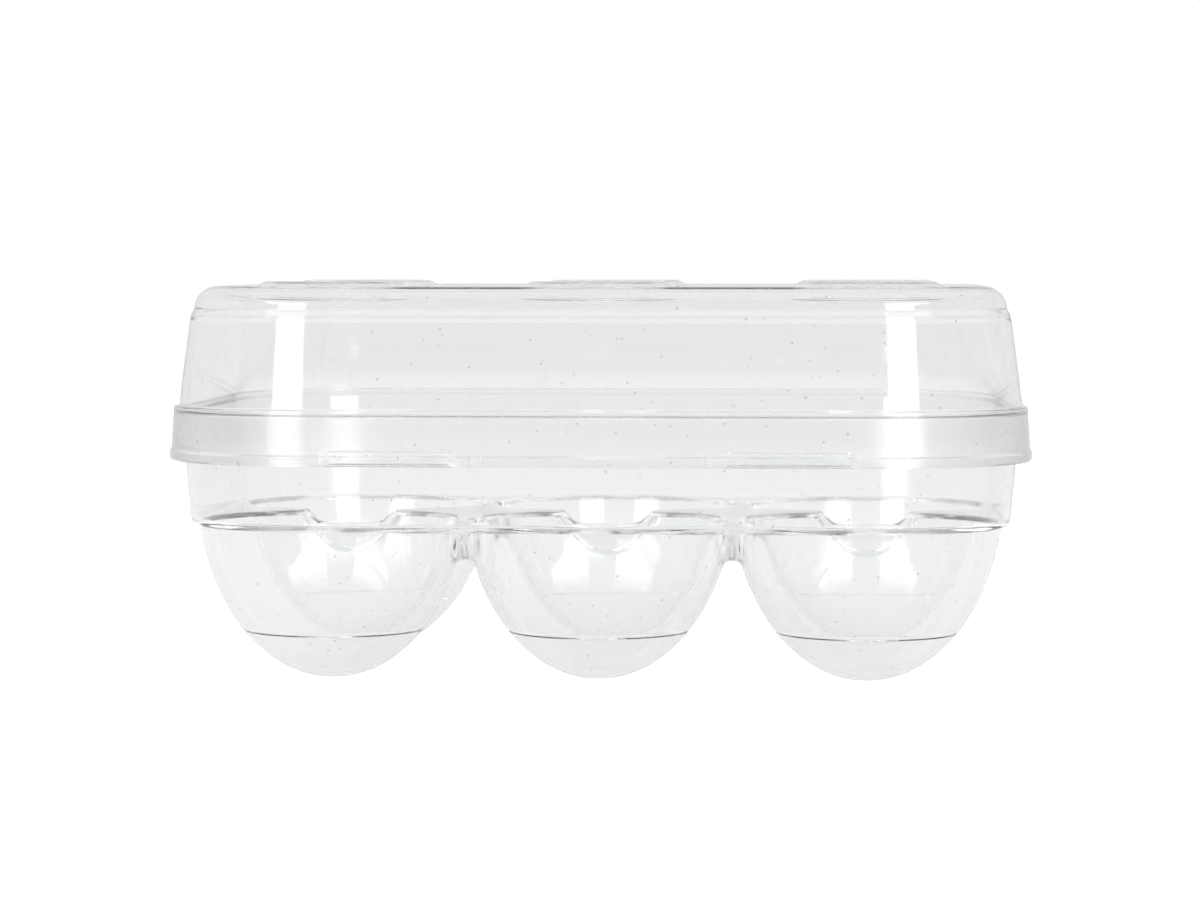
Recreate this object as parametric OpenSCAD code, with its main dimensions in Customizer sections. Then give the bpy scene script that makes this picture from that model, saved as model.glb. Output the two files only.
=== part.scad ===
// Clear plastic case for eggs: a tray of hanging cups, and a lid that lifts off it.
// Both mouldings follow one rounded rectangle whose corners turn about the corner cups' centres,
// so every wall is drawn once as an outline of [distance from that line of centres, height].

/* [Cups] */
// Cups along the length
columns = 3; // [2:1:5]
// Cups across the width
rows = 2; // [2:1:3]
// Distance between the centres of neighbouring cups
cup_pitch = 47; // [46.8:0.2:48]
// Half width of the oval that a cup's outside follows
oval_radius = 23.9; // [23.6:0.1:24]
// Half height of that oval
oval_height = 33.6; // [32:0.2:36]
// Slice off the oval's tip, which leaves the flat foot
foot_cut = 0.3; // [0.2:0.1:0.6]
// Depth of the web between two cups, below the deck
web_depth = 6.8; // [4:0.2:8]
// Depth of the dip in the ridge between the rows, for a fingertip
dip_depth = 2.2; // [1:0.2:3]

/* [Tray] */
// Height of the deck that joins the cups' rims
deck_z = 27.9; // [26:0.1:29]
// Height of the tray's rim
rim_z = 46.7; // [40:0.1:47]
// How far the tray's wall stands outside the line of centres, at the deck
tray_reach = 25.1; // [25:0.1:25.6]
// Draft of the tray's wall, in degrees
tray_draft = 4.8; // [3:0.1:5]
// Wall of both mouldings
wall = 0.95; // [0.8:0.05:1]

/* [Lid] */
// Height of the skirt's lower edge
lip_z = 38.4; // [36:0.1:39]
// Height of the bead round the skirt's lower edge
lip_h = 2.0; // [1.6:0.1:2.4]
// How far the skirt stands outside the line of centres, at its bead
skirt_reach = 28.4; // [28.2:0.1:29]
// Height of the ledge between the skirt and the lid's wall
ledge_z = 47.9; // [47.8:0.1:49]
// Height where the lid's wall breaks inwards
break_z = 62.7; // [58:0.1:63]
// Height of the lid's flat top, without the pads
top_z = 68.8; // [68.5:0.1:72]
// Height of the round pads over the cups
pad_h = 0.8; // [0.6:0.1:1.5]
// Radius of a pad at its foot
pad_r = 13.5; // [11:0.1:15]

/* [Snap beads] */
// Nearest and furthest point of each bead from the middle of the long side
bead_from = 22.6; // [20:0.1:25]
bead_to = 45.2; // [40:0.1:46]
// Height of a bead
bead_h = 1.8; // [1.2:0.1:2]
// Depth of a bead, inwards from the skirt
bead_depth = 0.5; // [0.3:0.05:0.5]

/* [Hidden] */
$fn = 72;

// Half sizes of the rectangle through the corner cups' centres
core_x = (columns - 1) * cup_pitch / 2;
core_y = (rows - 1) * cup_pitch / 2;

deck_under = deck_z - wall;
tray_corner = 1.2;        // radius of the tray wall's lower edge
oval_centre = oval_height - foot_cut;
cup_steps = 11;           // straight steps along a cup's outline
edge_steps = 3;           // steps round a small rounded edge
skirt_draft = 4;
lid_draft = 7.7;
lip_bulge = 0.12;         // how far the lip's bead stands proud of the skirt
ledge_in = 0.85;          // width of the ledge
edge_in = 0.3;            // chamfer of the lip and of the ledge, inwards
edge_up = 0.4;            // and upwards
step_in = 0.3;            // how far the lid's wall steps inwards above the break
step_up = 1.3;            // and over what height
top_in = 0.8;             // how far the shoulder starts inside the break
shoulder_r = 4;           // radius of the edge round the lid's top
pad_slope = 1.75;         // how much narrower a pad is at its top
bead_lift = 0.6;          // height of a snap bead above the lip
web_t = 4;
web_half_l = 8.4;
dip_top = 16;
dip_bottom = 11.5;
dip_half_l = 2.6;
overlap = 0.5;            // how far joined pieces run into each other
clear_plastic = [0.86, 0.89, 0.90, 0.45];

// Points of an arc in an outline, from angle a to angle b about [r, z]
function arc(r, z, radius, a, b, steps) =
    [for (i = [0:steps]) let (t = a + (b - a) * i / steps) [r + radius * cos(t), z + radius * sin(t)]];

// Radius of the tray's wall, the skirt and the lid's wall at a height, measured to the outside
function tray_r(z) = tray_reach + (z - deck_z) * tan(tray_draft);
function skirt_r(z) = skirt_reach - (z - lip_z - lip_h) * tan(skirt_draft);
function lid_r(z) = skirt_r(ledge_z) - ledge_in - (z - ledge_z) * tan(lid_draft);

// Distance of the shoulder's centre from the line of centres
shoulder_reach = lid_r(break_z) - top_in - shoulder_r;

// Outline of a cup, from the foot or the pole up to height top, a wall's thickness further in with inset
function cup_outline(inset, bottom, top) =
    let (half_w = oval_radius - inset, half_h = oval_height - inset,
         from = acos(min(1, (oval_centre - bottom) / half_h)), to = acos((oval_centre - top) / half_h))
    [for (i = [0:cup_steps]) let (t = from + (to - from) * i / cup_steps)
        [half_w * sin(t), oval_centre - half_h * cos(t)]];

// Outside of the tray's wall, from under the deck to the rim
function tray_outline() = concat(
    arc(tray_r(deck_under) - tray_corner, deck_under + tray_corner, tray_corner, -90, 0, edge_steps),
    [[tray_r(rim_z), rim_z]]);

// Space inside the tray's wall, above the deck
function well_outline() = [
    [tray_r(deck_z) - wall, deck_z],
    [tray_r(rim_z + overlap) - wall, rim_z + overlap]];

// Outside of the lid, from the lip to the top
function lid_outline() = concat(
    [[skirt_r(lip_z) - edge_in, lip_z], [skirt_r(lip_z) + lip_bulge, lip_z + edge_up],
     [skirt_r(lip_z) + lip_bulge, lip_z + lip_h - edge_up], [skirt_r(lip_z + lip_h), lip_z + lip_h],
     [skirt_r(ledge_z - edge_up), ledge_z - edge_up], [skirt_r(ledge_z) - edge_in, ledge_z],
     [lid_r(ledge_z), ledge_z], [lid_r(break_z), break_z], [lid_r(break_z) - step_in, break_z + step_up]],
    arc(shoulder_reach, top_z - shoulder_r, shoulder_r, 0, 90, 2 * edge_steps));

// Space inside the lid, from below the lip to under the top
function lid_space_outline() = concat(
    [[skirt_r(lip_z) - wall, lip_z - overlap], [skirt_r(ledge_z) - wall, ledge_z - wall],
     [lid_r(ledge_z) - wall, ledge_z - wall], [lid_r(break_z) - wall, break_z],
     [lid_r(break_z) - step_in - wall, break_z + step_up]],
    arc(shoulder_reach, top_z - shoulder_r, shoulder_r - wall, 0, 90, 2 * edge_steps));

// Solid that fills an outline all the way round the rectangle of centres
module rounded_block(outline) {
    bottom = outline[0][1];
    top = outline[len(outline) - 1][1];
    section = concat([[0, bottom]], outline, [[0, top]]);
    translate([-core_x, -core_y, bottom]) cube([2 * core_x, 2 * core_y, top - bottom]);
    for (side = [0:3]) {
        along_x = side % 2 == 0;
        rotate(90 * side) {
            translate(along_x ? [core_x, core_y, 0] : [core_y, core_x, 0])
                rotate_extrude(angle = 90) polygon(section);
            translate([along_x ? -core_x : -core_y, along_x ? core_y : core_x, 0])
                rotate([90, 0, 90]) linear_extrude(2 * (along_x ? core_x : core_y)) polygon(section);
        }
    }
}

// Places its children at every cup
module at_cups() {
    for (column = [0:columns - 1], row = [0:rows - 1])
        translate([column * cup_pitch - core_x, row * cup_pitch - core_y, 0]) children();
}

module cup_outside() {
    outline = cup_outline(0, 0, deck_under + overlap / 2);
    rotate_extrude() polygon(concat([[0, 0]], outline, [[0, outline[len(outline) - 1][1]]]));
}

module cup_inside() {
    outline = cup_outline(wall, foot_cut - oval_height, deck_z);
    rim = outline[len(outline) - 1];
    rotate_extrude() polygon(concat(outline, [[rim[0], rim[1] + overlap], [0, rim[1] + overlap]]));
}

// Fill in the groove between two cups: half an oval that hangs from the deck, across X
module web() {
    rotate([90, 0, 90]) linear_extrude(web_t, center = true)
        polygon(concat([[web_half_l, deck_under + overlap / 2]],
            [for (t = [0:-15:-180]) [web_half_l * cos(t), deck_under + web_depth * sin(t)]],
            [[-web_half_l, deck_under + overlap / 2]]));
}

// Tool for the dip in the ridge between two rows, across Y
module dip() {
    rotate([90, 0, 0]) linear_extrude(2 * dip_half_l, center = true)
        polygon([[-dip_bottom / 2, deck_z - dip_depth], [dip_bottom / 2, deck_z - dip_depth],
                 [dip_top / 2, deck_z], [dip_top / 2, deck_z + overlap],
                 [-dip_top / 2, deck_z + overlap], [-dip_top / 2, deck_z]]);
}

module tray() {
    color(clear_plastic) difference() {
        union() {
            rounded_block(tray_outline());
            at_cups() cup_outside();
            for (column = [0:columns - 2], row = [0:rows - 1])
                translate([(column + 0.5) * cup_pitch - core_x, row * cup_pitch - core_y, 0]) web();
            for (column = [0:columns - 1], row = [0:rows - 2])
                translate([column * cup_pitch - core_x, (row + 0.5) * cup_pitch - core_y, 0]) rotate(90) web();
        }
        rounded_block(well_outline());
        at_cups() cup_inside();
        for (column = [0:columns - 1], row = [0:rows - 2])
            translate([column * cup_pitch - core_x, (row + 0.5) * cup_pitch - core_y, 0]) dip();
    }
}

// Raised disc over a cup, moved down by drop to make the hollow under it
module pad(drop) {
    rotate_extrude() polygon([[0, top_z - overlap - drop], [pad_r, top_z - overlap - drop], [pad_r, top_z - drop],
                              [pad_r - pad_slope, top_z + pad_h - drop], [0, top_z + pad_h - drop]]);
}

module snap_bead() {
    inside = core_y + skirt_r(lip_z + lip_h) - wall;
    translate([bead_from, inside - bead_depth, lip_z + bead_lift])
        cube([bead_to - bead_from, bead_depth + wall / 2, bead_h]);
}

module lid() {
    color(clear_plastic) {
        difference() {
            union() {
                rounded_block(lid_outline());
                at_cups() pad(0);
            }
            rounded_block(lid_space_outline());
            at_cups() pad(wall);
        }
        for (x_side = [0, 1], y_side = [0, 1])
            mirror([x_side, 0, 0]) mirror([0, y_side, 0]) snap_bead();
    }
}

tray();
lid();
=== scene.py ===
import math

import bmesh
import bpy
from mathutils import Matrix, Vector


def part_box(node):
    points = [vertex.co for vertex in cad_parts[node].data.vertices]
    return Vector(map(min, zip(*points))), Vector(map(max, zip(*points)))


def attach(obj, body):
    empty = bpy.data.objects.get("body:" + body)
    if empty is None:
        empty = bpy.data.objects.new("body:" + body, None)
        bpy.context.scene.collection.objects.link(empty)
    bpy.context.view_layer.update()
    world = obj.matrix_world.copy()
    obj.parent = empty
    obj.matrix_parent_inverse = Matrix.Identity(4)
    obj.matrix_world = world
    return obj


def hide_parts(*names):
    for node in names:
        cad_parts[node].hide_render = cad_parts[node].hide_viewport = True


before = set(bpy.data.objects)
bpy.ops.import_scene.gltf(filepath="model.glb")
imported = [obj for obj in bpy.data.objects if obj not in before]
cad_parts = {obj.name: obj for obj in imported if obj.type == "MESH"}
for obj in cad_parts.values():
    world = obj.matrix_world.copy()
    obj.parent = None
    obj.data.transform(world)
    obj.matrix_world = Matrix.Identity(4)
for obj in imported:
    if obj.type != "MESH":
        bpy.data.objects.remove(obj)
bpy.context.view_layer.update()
print("frame loaded:", ", ".join(sorted(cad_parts)))

# Everything is drawn in millimetres and made metres when a piece is finished
mm = 0.001
trayLow, trayHigh = (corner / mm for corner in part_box("tray"))
lidLow, lidHigh = (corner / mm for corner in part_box("lid"))

case = {
    "columns": 3,
    "rows": 2,
    "pitch": 47.0,  # between the centres of neighbouring cups
    "wall": 0.95,
    "turns": 120,  # steps round a cup, a multiple of eight
}
coreX = (case["columns"] - 1) * case["pitch"] / 2
coreY = (case["rows"] - 1) * case["pitch"] / 2
half = case["pitch"] / 2
wall = case["wall"]


def arc(r, z, radius, start, end, steps):  # points of an arc in an outline, angles in degrees
    angles = [math.radians(start + (end - start) * i / steps) for i in range(steps + 1)]
    return [(r + radius * math.cos(a), z + radius * math.sin(a)) for a in angles]


def rounded(points, radius, steps=5):  # the outline with its inner corners rounded
    line = [Vector(p) for p in points]
    out = [line[0]]
    for before, corner, after in zip(line, line[1:], line[2:]):
        back, ahead = (before - corner), (after - corner)
        turn = math.pi - back.angle(ahead)
        cut = min(radius * math.tan(turn / 2), back.length * 0.45, ahead.length * 0.45)
        start, end = corner + back.normalized() * cut, corner + ahead.normalized() * cut
        for i in range(steps + 1):
            t = i / steps
            out.append(start * (1 - t) ** 2 + corner * 2 * t * (1 - t) + end * t * t)
    return [tuple(p) for p in out + [line[-1]]]


def smooth(value, low, high):  # 0 below low, 1 above high
    t = min(1, max(0, (value - low) / (high - low)))
    return t * t * (3 - 2 * t)


def outwards(co):  # the nearest point of the rectangle of cup centres, and the way out from it
    core = Vector((min(coreX, max(-coreX, co.x)), min(coreY, max(-coreY, co.y)), 0))
    away = Vector((co.x, co.y, 0)) - core
    return core, away.normalized(), away.length


def openEdges(bm):
    return [e for e in bm.edges if e.is_boundary]


def growEdge(bm, place):  # extrude the open edge and put each new vertex where place says
    for v in bmesh.ops.extrude_edge_only(bm, edges=openEdges(bm))["geom"]:
        if isinstance(v, bmesh.types.BMVert):
            v.co = place(v.co)


# One surface over all the cups: the outline turned about each centre, then flat out to the edge
def cupSheet(outline, reach, rings):
    bm = bmesh.new()
    chain = [bm.verts.new((r, 0, z)) for r, z in outline]
    line = [bm.edges.new(pair) for pair in zip(chain, chain[1:])]
    bmesh.ops.spin(bm, geom=chain + line, axis=(0, 0, 1), cent=(0, 0, 0), angle=math.tau,
                   steps=case["turns"], use_merge=True)
    bmesh.ops.remove_doubles(bm, verts=bm.verts, dist=1e-4)

    def toSquare(co):
        return Vector((*(co.xy * half / max(abs(co.x), abs(co.y))), co.z))

    growEdge(bm, toSquare)
    bmesh.ops.translate(bm, verts=bm.verts, vec=(-coreX, -coreY, 0))
    first = bm.verts[:] + bm.edges[:] + bm.faces[:]
    for column in range(case["columns"]):
        for row in range(case["rows"]):
            if column or row:
                copy = bmesh.ops.duplicate(bm, geom=first)["geom"]
                moved = [v for v in copy if isinstance(v, bmesh.types.BMVert)]
                bmesh.ops.translate(bm, verts=moved, vec=(column * case["pitch"], row * case["pitch"], 0))
    bmesh.ops.remove_doubles(bm, verts=bm.verts, dist=1e-4)
    outer = {v for e in openEdges(bm) for v in e.verts}
    for v in bm.verts:
        core, away, distance = outwards(v.co)
        if v in outer:
            v.co = core + away * reach + Vector((0, 0, v.co.z))
        elif onBorder(v.co):  # the borders between the squares shrink with the edge
            v.co = core + away * distance * reach / half + Vector((0, 0, v.co.z))
    flat = outline[-1][0]  # the flat part gets its rings once its edge is in place
    across = [e for e in bm.edges if e.calc_length() > 1e-3 and crosses(e, flat)]
    bmesh.ops.subdivide_edges(bm, edges=across, cuts=rings, use_grid_fill=True)
    return bm


def cupOf(co):  # centre of the cup whose square holds a point
    column = round((co.x + coreX) / case["pitch"])
    row = round((co.y + coreY) / case["pitch"])
    column, row = min(case["columns"] - 1, max(0, column)), min(case["rows"] - 1, max(0, row))
    return Vector((column * case["pitch"] - coreX, row * case["pitch"] - coreY, 0))


def onBorder(co):  # on the border of a cup's square
    centre = cupOf(co)
    return max(abs(co.x - centre.x), abs(co.y - centre.y)) > half - 1e-3


def crosses(edge, flat):  # an edge of the flat part that runs out from a cup
    middle = (edge.verts[0].co + edge.verts[1].co) / 2
    centre = cupOf(middle)
    distances = sorted((v.co.xy - centre.xy).length for v in edge.verts)
    return abs(distances[0] - flat) < 1e-3 and distances[1] > flat + 1e-2


def followOutline(bm, outline):  # carry the open edge along an outline round the rectangle
    for reach, z in outline:
        def place(co, reach=reach, z=z):
            core, away, _ = outwards(co)
            return core + away * reach + Vector((0, 0, z))
        growEdge(bm, place)


def closed(upper, lower):  # join the upper and the lower surface into one solid
    under = bpy.data.meshes.new("under")
    lower.to_mesh(under)
    lower.free()
    upper.from_mesh(under)
    bpy.data.meshes.remove(under)
    bmesh.ops.remove_doubles(upper, verts=upper.verts, dist=1e-3)
    bmesh.ops.recalc_face_normals(upper, faces=upper.faces)
    print("  open edges:", len(openEdges(upper)), " loose:", sum(not e.link_faces for e in upper.edges))
    return upper


def finishPiece(bm, name, body, node, material, sharp=32):
    bmesh.ops.scale(bm, vec=(mm, mm, mm), verts=bm.verts)
    mesh = bpy.data.meshes.new(name)
    bm.to_mesh(mesh)
    bm.free()
    piece = bpy.data.objects.new(name, mesh)
    bpy.context.scene.collection.objects.link(piece)
    mesh.shade_smooth()
    mesh.set_sharp_from_angle(angle=math.radians(sharp))
    even = piece.modifiers.new("even", "WEIGHTED_NORMAL")
    even.keep_sharp = True
    even.weight = 50
    mesh.materials.append(material)
    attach(piece, body)
    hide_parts(node)
    print("piece:", name, len(mesh.polygons), "faces")
    return piece


tray = {
    "ovalRadius": 23.9,  # half width of the oval that a cup's outside follows
    "ovalHeight": 33.6,  # and half its height
    "footCut": 0.3,
    "deckZ": 27.9,
    "rimZ": trayHigh.z,
    "draft": 4.8,
    "ridgeRound": 0.6,  # radius of a cup's rim
    "footRound": 0.6,  # radius inside the foot of the wall
    "cornerRound": 1.2,  # radius of the wall's lower edge
    "rimRound": 0.3,
    "webGap": 2.0,  # half the gap at which neighbouring cups run together
    "dipDepth": 2.2,
    "dipTop": 8.0,  # half lengths of a dip
    "dipBottom": 5.75,
    "dipReach": 2.6,  # half its width
    "creaseZ": 8.4,  # height of the fine crease round a cup's outside
    "creaseHalf": 0.22,  # half its width
    "creaseDepth": 0.19,
}
tray["centreZ"] = tray["ovalHeight"] - tray["footCut"]
tray["underZ"] = tray["deckZ"] - wall
slope = math.tan(math.radians(tray["draft"]))
trayReach = trayHigh.x - coreX - (tray["rimZ"] - tray["deckZ"]) * slope


def trayR(z):  # outside of the tray's wall, from the line of centres
    return trayReach + (z - tray["deckZ"]) * slope


def ovalPoints(inset, bottom, top, steps):  # even steps of angle from one height to another
    radius, height = tray["ovalRadius"] - inset, tray["ovalHeight"] - inset
    start, end = (math.acos(min(1, (tray["centreZ"] - z) / height)) for z in (bottom, top))
    angles = [start + (end - start) * i / steps for i in range(steps + 1)]
    return [(radius * math.sin(a), tray["centreZ"] - height * math.cos(a)) for a in angles]


def cupInside():
    pole = tray["centreZ"] - (tray["ovalHeight"] - wall)
    side = ovalPoints(wall, pole, tray["deckZ"] - tray["ridgeRound"], 44)
    rim = arc(side[-1][0] + tray["ridgeRound"], tray["deckZ"] - tray["ridgeRound"], tray["ridgeRound"], 180, 90, 5)
    return side + rim[1:]


def cupOutside():
    low, high = tray["creaseZ"] - tray["creaseHalf"], tray["creaseZ"] + tray["creaseHalf"]
    return ([(0, 0)] + ovalPoints(0, 0, low, 16)[:-1] + ovalPoints(0, low, high, 2)
            + ovalPoints(0, high, tray["underZ"], 30)[1:])


def trayWall():
    deck, rim = tray["deckZ"], tray["rimZ"]
    inside = [(trayR(deck) - wall - 2 * tray["footRound"], deck), (trayR(deck) - wall, deck),
              (trayR(rim) - wall, rim)]
    foot = rounded(inside, tray["footRound"])[1:-1]
    top = rounded([inside[1], inside[2], (trayR(rim), rim), (trayR(deck), deck)], tray["rimRound"])[1:-1]
    corner = arc(trayR(tray["underZ"]) - tray["cornerRound"], tray["underZ"] + tray["cornerRound"],
                 tray["cornerRound"], 0, -90, 5)
    return foot + top + corner


# Lower the ridges between the rows, or fill the grooves under the ridges
def dipAndWeb(bm, upper):
    for v in bm.verts:
        centre = cupOf(v.co)
        x, y = v.co.x - centre.x, v.co.y - centre.y
        if upper:
            if abs(v.co.y) < 5 and v.co.z > tray["deckZ"] - 6:
                down = 1 - min(1, max(0, (abs(x) - tray["dipBottom"]) / (tray["dipTop"] - tray["dipBottom"])))
                down *= 1 - smooth(abs(v.co.y), tray["dipReach"], 5)
                v.co.z -= down * tray["dipDepth"] * smooth(v.co.z, tray["deckZ"] - 6, tray["deckZ"] - 1)
            continue
        for across, along, inner in ((x, y, abs(v.co.x) < coreX), (y, x, abs(v.co.y) < coreY)):
            gap = half - abs(across)
            outer = not inner
            if outer or gap > tray["webGap"] or v.co.z < tray["deckZ"] / 2:
                continue
            share = ((half - tray["webGap"]) ** 2 + along ** 2) / tray["ovalRadius"] ** 2
            if share < 1:
                contact = tray["centreZ"] - tray["ovalHeight"] * math.sqrt(1 - share)
                v.co.z = min(v.co.z, contact + math.sqrt(tray["webGap"] ** 2 - gap ** 2))


# Press the crease into the side of each cup that faces away from the other row
def pressCrease(bm):
    for v in bm.verts:
        if abs(v.co.z - tray["creaseZ"]) < tray["creaseHalf"] / 4:
            centre = cupOf(v.co)
            away = Vector((v.co.x - centre.x, v.co.y - centre.y, 0)).normalized()
            v.co -= away * tray["creaseDepth"] * smooth(away.y * math.copysign(1, centre.y), -0.1, 0.3)


def makeTray(material):
    outline = trayWall()
    upper = cupSheet(cupInside(), outline[0][0], 3)
    dipAndWeb(upper, True)
    followOutline(upper, outline[1:])
    lower = cupSheet(cupOutside(), outline[-1][0], 4)
    dipAndWeb(lower, False)
    pressCrease(lower)
    return finishPiece(closed(upper, lower), "cup_tray", "tray", "tray", material)


lid = {
    "lipZ": lidLow.z,
    "lipH": 2.0,
    "skirtReach": 28.4,  # outside of the skirt, at the top of its lip
    "skirtDraft": 4.0,
    "lipBulge": 0.12,
    "ledgeZ": 47.9,
    "ledgeIn": 0.85,
    "draft": 7.7,
    "breakZ": 62.7,
    "stepUp": 1.3,
    "stepIn": 0.3,
    "topIn": 0.8,
    "shoulder": 4.0,
    "padHeight": 0.8,
    "padRadius": 13.5,
    "padSlope": 1.75,
    "edgeRound": 0.35,
    "edgeIn": 0.3,
    "edgeUp": 0.4,
}
lid["topZ"] = lidHigh.z - lid["padHeight"]
beads = {
    "from": 22.6,
    "to": 45.2,
    "ramp": 1.3,  # length of a bead's slanted end
    "lift": 0.6,  # above the lip
    "height": 1.8,
    "depth": 0.5,
    "tickAt": 20.0,  # the small rib beside each bead
    "tickWide": 0.8,
    "tickDepth": 0.2,
}


def skirtR(z):
    return lid["skirtReach"] - (z - lid["lipZ"] - lid["lipH"]) * math.tan(math.radians(lid["skirtDraft"]))


def lidR(z):
    narrower = (z - lid["ledgeZ"]) * math.tan(math.radians(lid["draft"]))
    return skirtR(lid["ledgeZ"]) - lid["ledgeIn"] - narrower


shoulderReach = lidR(lid["breakZ"]) - lid["topIn"] - lid["shoulder"]


def padOutline(drop):
    top, foot = lid["topZ"] + lid["padHeight"] - drop, lid["topZ"] - drop
    edge = [(lid["padRadius"] - 2 * lid["padSlope"], top), (lid["padRadius"] - lid["padSlope"], top),
            (lid["padRadius"], foot), (lid["padRadius"] + lid["padSlope"], foot)]
    return [(0, top)] + rounded(edge, 0.6)


# Outline from the top down outside, round the lip, and up again inside
def lidWalls():
    ledge, lip, breakZ = lid["ledgeZ"], lid["lipZ"], lid["breakZ"]
    shoulderZ = lid["topZ"] - lid["shoulder"]
    shoulder = arc(shoulderReach, shoulderZ, lid["shoulder"], 90, 0, 20)
    outside = [shoulder[-1], (lidR(breakZ) - lid["stepIn"], breakZ + lid["stepUp"]), (lidR(breakZ), breakZ),
               (lidR(ledge), ledge), (skirtR(ledge), ledge), (skirtR(lip + lid["lipH"]), lip + lid["lipH"]),
               (skirtR(lip) + lid["lipBulge"], lip + lid["lipH"] - lid["edgeUp"]),
               (skirtR(lip) + lid["lipBulge"], lip + lid["edgeUp"]), (skirtR(lip) - lid["edgeIn"], lip),
               (skirtR(lip) - wall, lip)]
    beadZ = [lip + beads["lift"] + z for z in (-0.3, 0, beads["height"], beads["height"] + 0.3)]
    inside = [(skirtR(z) - wall, z) for z in beadZ]
    above = [inside[-1], (skirtR(ledge - wall) - wall, ledge - wall), (lidR(ledge) - wall, ledge - wall),
             (lidR(breakZ) - lid["stepIn"] / 2 - wall, breakZ + lid["stepUp"] / 2),
             (shoulderReach + lid["shoulder"] - wall, shoulderZ)]
    inner = arc(shoulderReach, shoulderZ, lid["shoulder"] - wall, 0, 90, 20)
    return (shoulder + rounded(outside, lid["edgeRound"])[1:] + inside
            + rounded(above, lid["edgeRound"])[1:-1] + inner)


# Push the four snap beads and the ribs beside them in from the skirt's inside
def pressBeads(bm):
    cuts = [beads["from"], beads["from"] + beads["ramp"], beads["to"] - beads["ramp"], beads["to"]]
    rib = beads["tickWide"]
    cuts += [beads["tickAt"] + rib * share for share in (-0.5, -0.25, 0.25, 0.5)]
    for x in cuts:
        for side in (-1, 1):
            near = [f for f in bm.faces if f.calc_center_median().z < lid["ledgeZ"] - wall / 2
                    and abs(abs(f.calc_center_median().x) - x) < 6 and isInside(f.calc_center_median())]
            geom = set(near) | {e for f in near for e in f.edges} | {v for f in near for v in f.verts}
            bmesh.ops.bisect_plane(bm, geom=list(geom), plane_co=(side * x, 0, 0), plane_no=(1, 0, 0))
    low = lid["lipZ"] + beads["lift"] - 0.01
    for v in bm.verts:
        if isInside(v.co) and low < v.co.z < low + beads["height"] + 0.02:
            x = abs(v.co.x)
            _, away, _ = outwards(v.co)
            if abs(away.y) < 0.99:
                continue
            bead = min(ramp(x, beads["from"], beads["ramp"]), ramp(-x, -beads["to"], beads["ramp"]))
            tick = min(ramp(x, beads["tickAt"] - rib / 2, rib / 4), ramp(-x, -beads["tickAt"] - rib / 2, rib / 4))
            v.co -= away * max(bead * beads["depth"], tick * beads["tickDepth"])


def ramp(value, start, length):
    return min(1, max(0, (value - start) / length))


def isInside(co):  # on the inside of the skirt
    _, _, distance = outwards(co)
    return co.z < lid["ledgeZ"] - wall / 2 and abs(distance - (skirtR(co.z) - wall)) < 0.25


def makeLid(material):
    outline = lidWalls()
    upper = cupSheet(padOutline(0), outline[0][0], 2)
    followOutline(upper, outline[1:])
    lower = cupSheet(padOutline(wall), outline[-1][0], 2)
    solid = closed(upper, lower)
    pressBeads(solid)
    return finishPiece(solid, "lid_shell", "lid", "lid", material)



# A value in a shader, so that shader maths reads as plain maths
class Field:
    def __init__(self, shader, socket):
        self.shader, self.socket = shader, socket

    def maths(self, operation, a, b=0.0):
        return self.shader.node("ShaderNodeMath", {"operation": operation}, {0: a, 1: b})

    def __add__(self, other):
        return self.maths("ADD", self, other)

    def __sub__(self, other):
        return self.maths("SUBTRACT", self, other)

    def __mul__(self, other):
        return self.maths("MULTIPLY", self, other)

    def __rsub__(self, other):
        return self.maths("SUBTRACT", other, self)

    __radd__ = __add__
    __rmul__ = __mul__


class Shader:
    def __init__(self, owner):
        owner.use_nodes = True
        self.tree = owner.node_tree
        self.tree.nodes.clear()

    def ramp(self, value, start, length):  # 0 at start, 1 at start + length
        return self.node("ShaderNodeMapRange", {}, {0: value, 1: start, 2: start + length, 3: 0.0, 4: 1.0})

    def node(self, kind, settings=None, inputs=None, output=0):
        made = self.tree.nodes.new(kind)
        for name, value in (settings or {}).items():
            if name == "stops":
                setStops(made.color_ramp, value)
            else:
                setattr(made, name, value)
        for name, value in (inputs or {}).items():
            if isinstance(value, Field):
                self.tree.links.new(value.socket, made.inputs[name])
            else:
                made.inputs[name].default_value = value
        return Field(self, made.outputs[output]) if made.outputs else None


def setStops(colorRamp, stops):
    while len(colorRamp.elements) > 1:
        colorRamp.elements.remove(colorRamp.elements[-1])
    for i, (position, shade) in enumerate(stops):
        element = colorRamp.elements[0] if i == 0 else colorRamp.elements.new(position)
        element.position = position
        element.color = (*shade, 1) if isinstance(shade, tuple) else (shade, shade, shade, 1)


plastic = {
    "tint": (0.996, 0.998, 1.0),
    "dull": (0.99, 0.994, 0.998),
    "speck": (0.55, 0.55, 0.56),  # dust and tiny marks
    "ior": 1.46,
    "gloss": 0.03,
    "satin": 0.19,
    "clear": 0.995,  # the rest is milky
}


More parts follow.
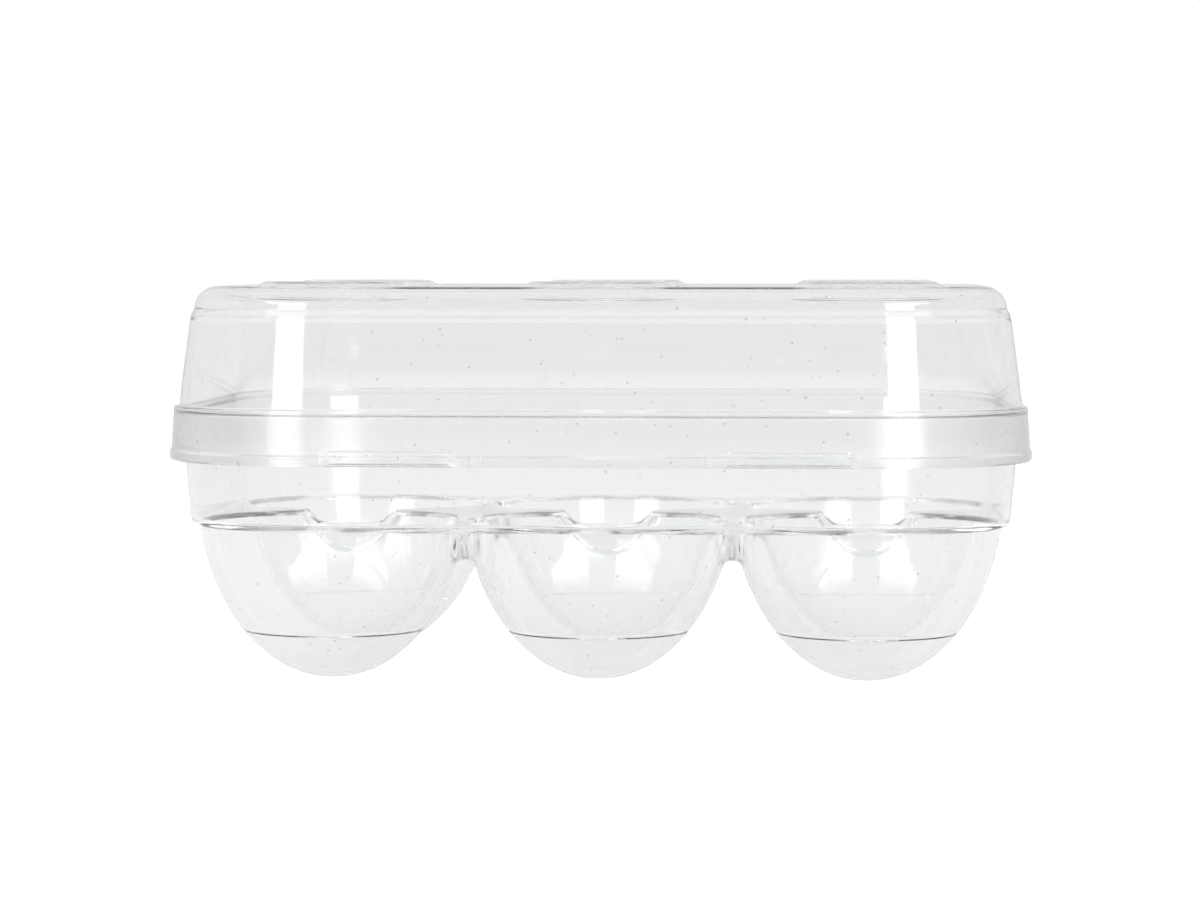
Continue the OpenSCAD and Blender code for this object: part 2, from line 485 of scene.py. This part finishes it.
# Clear moulded plastic, satin between two heights, with faint flow marks and handling scratches
def clearPlastic(name, satinLow, satinHigh):
    material = bpy.data.materials.new(name)
    s = Shader(material)
    place = s.node("ShaderNodeTexCoord", output="Object")
    flow = s.node("ShaderNodeTexNoise", {}, {"Vector": place, "Scale": 28.0, "Detail": 3.0})
    grain = s.node("ShaderNodeTexNoise", {}, {"Vector": place, "Scale": 900.0, "Detail": 2.0})
    height = s.node("ShaderNodeSeparateXYZ", {}, {0: place}, output="Z")
    band = s.node("ShaderNodeMapRange", {"interpolation_type": "SMOOTHSTEP"},
                  {0: height, 1: satinLow, 2: satinLow + 0.0004, 3: 0.0, 4: 1.0})
    fade = s.node("ShaderNodeMapRange", {"interpolation_type": "SMOOTHSTEP"},
                  {0: height, 1: satinHigh - 0.0004, 2: satinHigh, 3: 1.0, 4: 0.0})
    satin = band * fade
    stretch = s.node("ShaderNodeMapping", {}, {"Vector": place, "Scale": (240.0, 240.0, 22.0), "Rotation": (0.3, 0.5, 0.2)})
    wear = s.node("ShaderNodeTexNoise", {}, {"Vector": stretch, "Scale": 3.0, "Detail": 4.0, "Roughness": 0.7})
    scratches = s.node("ShaderNodeMapRange", {}, {0: wear, 1: 0.66, 2: 0.72, 3: 0.0, 4: 1.0})
    dust = s.node("ShaderNodeTexVoronoi", {}, {"Vector": place, "Scale": 260.0}, output="Distance")
    specks = s.node("ShaderNodeMapRange", {}, {0: dust, 1: 0.04, 2: 0.07, 3: 1.0, 4: 0.0})
    roughness = (plastic["gloss"] + satin * (plastic["satin"] - plastic["gloss"]) + grain * 0.02
                 + scratches * 0.25 + specks * 0.2)
    shade = s.node("ShaderNodeMix", {"data_type": "RGBA"},
                   {0: flow, 6: (*plastic["tint"], 1), 7: (*plastic["dull"], 1)}, output=2)
    shade = s.node("ShaderNodeMix", {"data_type": "RGBA"},
                   {0: specks, 6: shade, 7: (*plastic["speck"], 1)}, output=2)
    relief = flow * 0.5 + grain * 0.01 * satin - scratches * 0.02
    bump = s.node("ShaderNodeBump", {}, {"Strength": 0.12, "Distance": 0.0004, "Height": relief})
    shader = s.node("ShaderNodeBsdfPrincipled", {},
                    {"Base Color": shade, "Roughness": roughness, "Normal": bump,
                     "IOR": plastic["ior"], "Transmission Weight": plastic["clear"]})
    s.node("ShaderNodeOutputMaterial", {}, {"Surface": shader})
    return material


studio = {
    "lens": 111.14,
    "place": (0.04407, -0.672, 0.07351),
    "turn": 3.869,
    "tilt": 2.95,
    "floorRadius": 1.5,
    "floorShade": (0.12, 0.12, 0.12),
    "floorGlow": 0.68,
    "floorPaintedPool": 0.07,  # painted light: how much brighter the floor glows under the case
    "floorFade": (0.12, 0.6),  # where that starts and ends
    "front": 0.80,
    "back": 0.81,
    "sideDrop": 0.05,
}


def setCamera():
    camera = bpy.data.objects.new("camera", bpy.data.cameras.new("camera"))
    camera.data.lens = studio["lens"]
    camera.data.sensor_width = 36
    camera.location = studio["place"]
    camera.rotation_euler = (math.radians(90 - studio["tilt"]), 0, math.radians(studio["turn"]))
    bpy.context.scene.collection.objects.link(camera)
    bpy.context.scene.camera = camera


def paleFloor():
    bm = bmesh.new()
    bmesh.ops.create_circle(bm, cap_ends=True, segments=96, radius=studio["floorRadius"])
    mesh = bpy.data.meshes.new("floor")
    bm.to_mesh(mesh)
    bm.free()
    floor = bpy.data.objects.new("floor", mesh)
    bpy.context.scene.collection.objects.link(floor)
    material = bpy.data.materials.new("floor_paint")
    s = Shader(material)
    seen = s.node("ShaderNodeLightPath", output="Is Camera Ray")
    place = s.node("ShaderNodeTexCoord", output="Object")
    away = s.node("ShaderNodeVectorMath", {"operation": "LENGTH"}, {0: place}, output="Value")
    start, end = studio["floorFade"]
    # painted pool of light: the floor glows brighter under the case and fades out with distance from the middle
    near = s.node("ShaderNodeMapRange", {"interpolation_type": "SMOOTHSTEP"}, {0: away, 1: start, 2: end, 3: 1.0, 4: 0.0})
    glow = near * studio["floorPaintedPool"] + seen * 0.4 + studio["floorGlow"]
    shader = s.node("ShaderNodeBsdfPrincipled", {},
                    {"Base Color": (*studio["floorShade"], 1), "Roughness": 0.9,
                     "Emission Color": glow, "Emission Strength": 1.0})
    s.node("ShaderNodeOutputMaterial", {}, {"Surface": shader})
    mesh.materials.append(material)


softbox = {
    "inner": 15.0,  # its edges, as degrees either side of straight ahead of the front
    "outer": 39.5,
    "outerHigh": 62.0,  # it widens above the object
    "widen": (26.0, 36.0),
    "low": -2.0,
    "high": 47.0,
    "edge": 1.2,
    "strength": 5.0,
}


# Pale room, with a tall softbox to either side of the front
def softLight():
    world = bpy.data.worlds.new("studio")
    bpy.context.scene.world = world
    s = Shader(world)
    place = s.node("ShaderNodeTexCoord", output="Generated")
    parts = [s.node("ShaderNodeSeparateXYZ", {}, {0: place}, output=axis) for axis in "XYZ"]
    x, y, z = parts
    turn = s.node("ShaderNodeMath", {"operation": "ABSOLUTE"}, {0: x.maths("ARCTAN2", x, 0.0 - y)})
    rise = z.maths("ARCSINE", z)
    level = s.node("ShaderNodeMapRange", {"interpolation_type": "SMOOTHSTEP"},
                   {0: y, 1: -0.9, 2: 0.7, 3: studio["front"], 4: studio["back"]})
    level = level - x * x * studio["sideDrop"]
    edge = math.radians(softbox["edge"])
    inner, outer, outerHigh, low, high = (math.radians(softbox[name])
                                          for name in ("inner", "outer", "outerHigh", "low", "high"))
    outerEdge = s.node("ShaderNodeMapRange", {"interpolation_type": "SMOOTHSTEP"},
                       {0: rise, 1: math.radians(softbox["widen"][0]), 2: math.radians(softbox["widen"][1]),
                        3: outer, 4: outerHigh})
    box = s.ramp(turn, inner, edge) * s.ramp(outerEdge - turn, 0, edge)
    box = box * s.ramp(rise, low, edge) * s.ramp(high - rise, 0, edge * 14)
    level = level + box * softbox["strength"]
    seen = s.node("ShaderNodeLightPath", output="Is Camera Ray")
    shown = level + seen * (1.02 - level)
    glow = s.node("ShaderNodeBackground", {}, {"Color": (0.985, 0.99, 1.0, 1), "Strength": shown})
    s.node("ShaderNodeOutputWorld", {}, {"Surface": glow})


makeTray(clearPlastic("tray_plastic", 0.0, 0.0))
makeLid(clearPlastic("lid_plastic", lid["lipZ"] * mm - 0.001, (lid["ledgeZ"] - 0.3) * mm))
print("mouldings made")
setCamera()
paleFloor()
softLight()
scene = bpy.context.scene
scene.view_settings.view_transform = "Standard"
scene.cycles.max_bounces = 40
scene.cycles.transmission_bounces = 40
scene.cycles.glossy_bounces = 40
scene.cycles.diffuse_bounces = 24
scene.cycles.transparent_max_bounces = 16
print("studio set")
